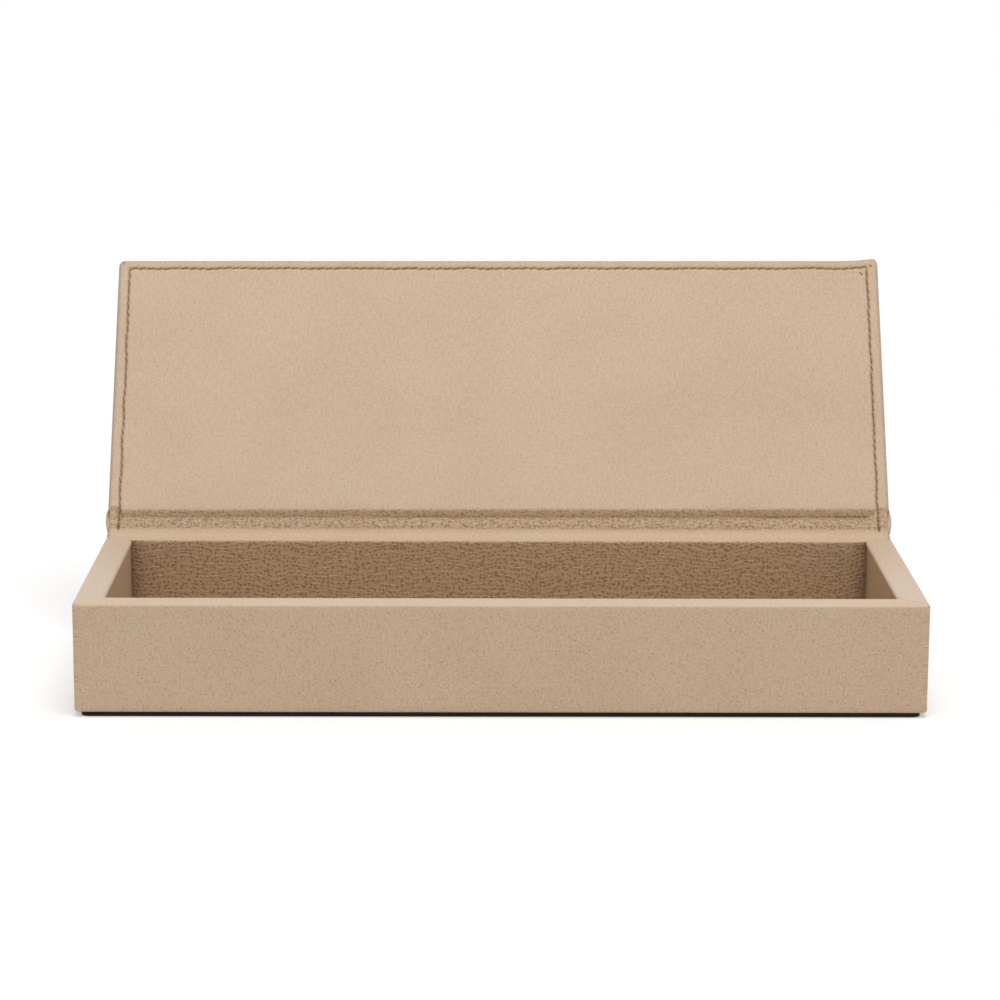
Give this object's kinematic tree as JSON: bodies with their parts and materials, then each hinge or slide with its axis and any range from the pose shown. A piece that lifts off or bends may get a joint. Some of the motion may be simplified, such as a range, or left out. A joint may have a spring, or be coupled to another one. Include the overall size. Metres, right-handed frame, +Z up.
{
  "type": "pencil box",
  "caption": "Long, low leather-covered pencil box with a stitched lid on a leather hinge, standing open.",
  "frame": {"origin": "centre of the box's base, on the table it stands on; the open lid leans out behind it", "axes": "+X along the box, -Y out of its front, +Z up"},
  "size_m": [0.26, 0.1538, 0.1206],
  "materials": {
    "taupe_leather": "satin",
    "dark_suede": "matte",
    "board": "matte",
    "card": "matte",
    "thread": "matte"
  },
  "bodies": {
    "box": {"base_pad": "dark_suede", "base_infill": "card", "bottom_board": "board", "front_wall": "board", "rear_wall": "board", "left_wall": "board", "right_wall": "board", "outer_wrap": "taupe_leather", "spine_cover": "taupe_leather", "front_lining": "taupe_leather", "left_lining": "taupe_leather", "right_lining": "taupe_leather", "rear_lining": "taupe_leather", "floor_lining": "taupe_leather", "hinge_cover": "taupe_leather", "hinge_lining": "taupe_leather", "hinge_thread": "thread"},
    "lid": {"lid_cover": "taupe_leather", "lid_board": "board", "lid_infill": "card", "lid_lining": "taupe_leather", "lid_inner_thread": "thread", "lid_outer_thread": "thread"}
  },
  "joints": [
    {"name": "lid_hinge", "type": "hinge", "parent": "box", "child": "lid", "pos_m": [0, 0.0493, 0.0373], "axis": [-1, 0, 0], "range_deg": [-122.5, 77], "deforming": ["hinge_cover", "hinge_lining", "hinge_thread"]}
  ]
}
